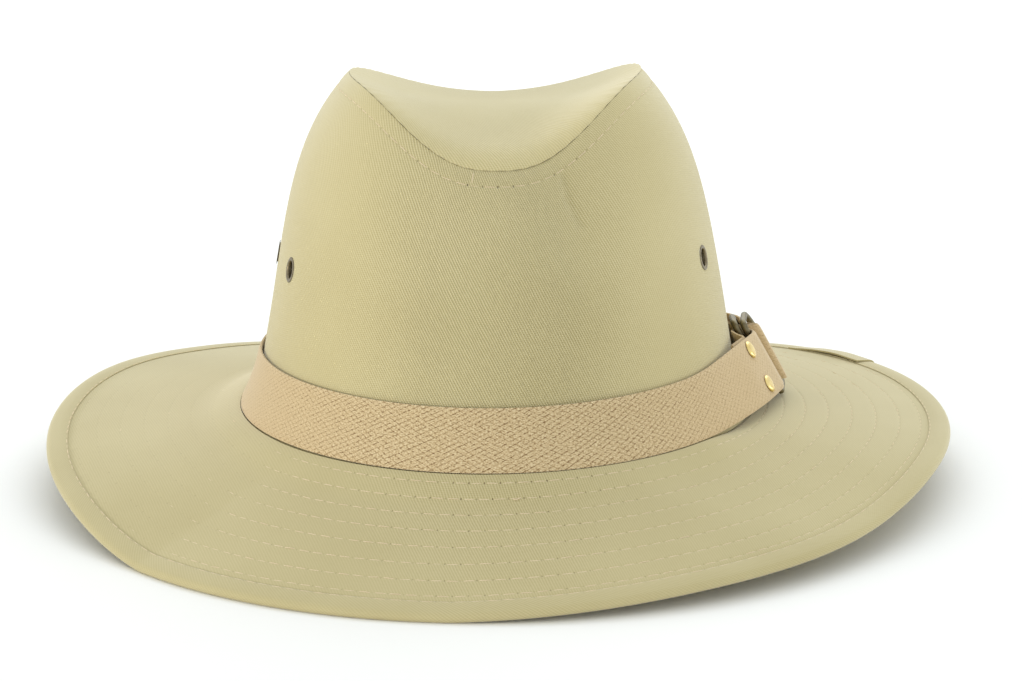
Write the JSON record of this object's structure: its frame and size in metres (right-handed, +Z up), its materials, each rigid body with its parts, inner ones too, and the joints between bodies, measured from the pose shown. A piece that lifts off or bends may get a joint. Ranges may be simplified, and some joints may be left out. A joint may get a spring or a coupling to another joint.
{
  "type": "fedora hat",
  "caption": "Cotton-twill fedora with a dented crown, a stitched brim bound at its edge, and a webbing band fastened through wire D-rings.",
  "frame": {"origin": "on the surface the hat rests on, under the middle of the brim", "axes": "+Z up through the crown, -Y out of the hat's front, +X toward the side with the D-rings"},
  "size_m": [0.3046, 0.3377, 0.1364],
  "materials": {
    "twill": "matt khaki cotton twill",
    "webbing": "matt tan cotton webbing, plaited weave",
    "antique_metal": "dark antique plating, satin",
    "gold_metal": "polished gold plating"
  },
  "bodies": {
    "root": {"crown_side": "twill", "crown_tip": "twill", "brim": "twill", "brim_binding": "twill", "hat_band": "webbing", "d_ring_inner": "antique_metal", "d_ring_outer": "antique_metal", "rivet_upper": "gold_metal", "rivet_lower": "gold_metal", "eyelet_right_front": "antique_metal", "eyelet_right_rear": "antique_metal", "eyelet_left_front": "antique_metal", "eyelet_left_rear": "antique_metal"}
  },
  "joints": []
}
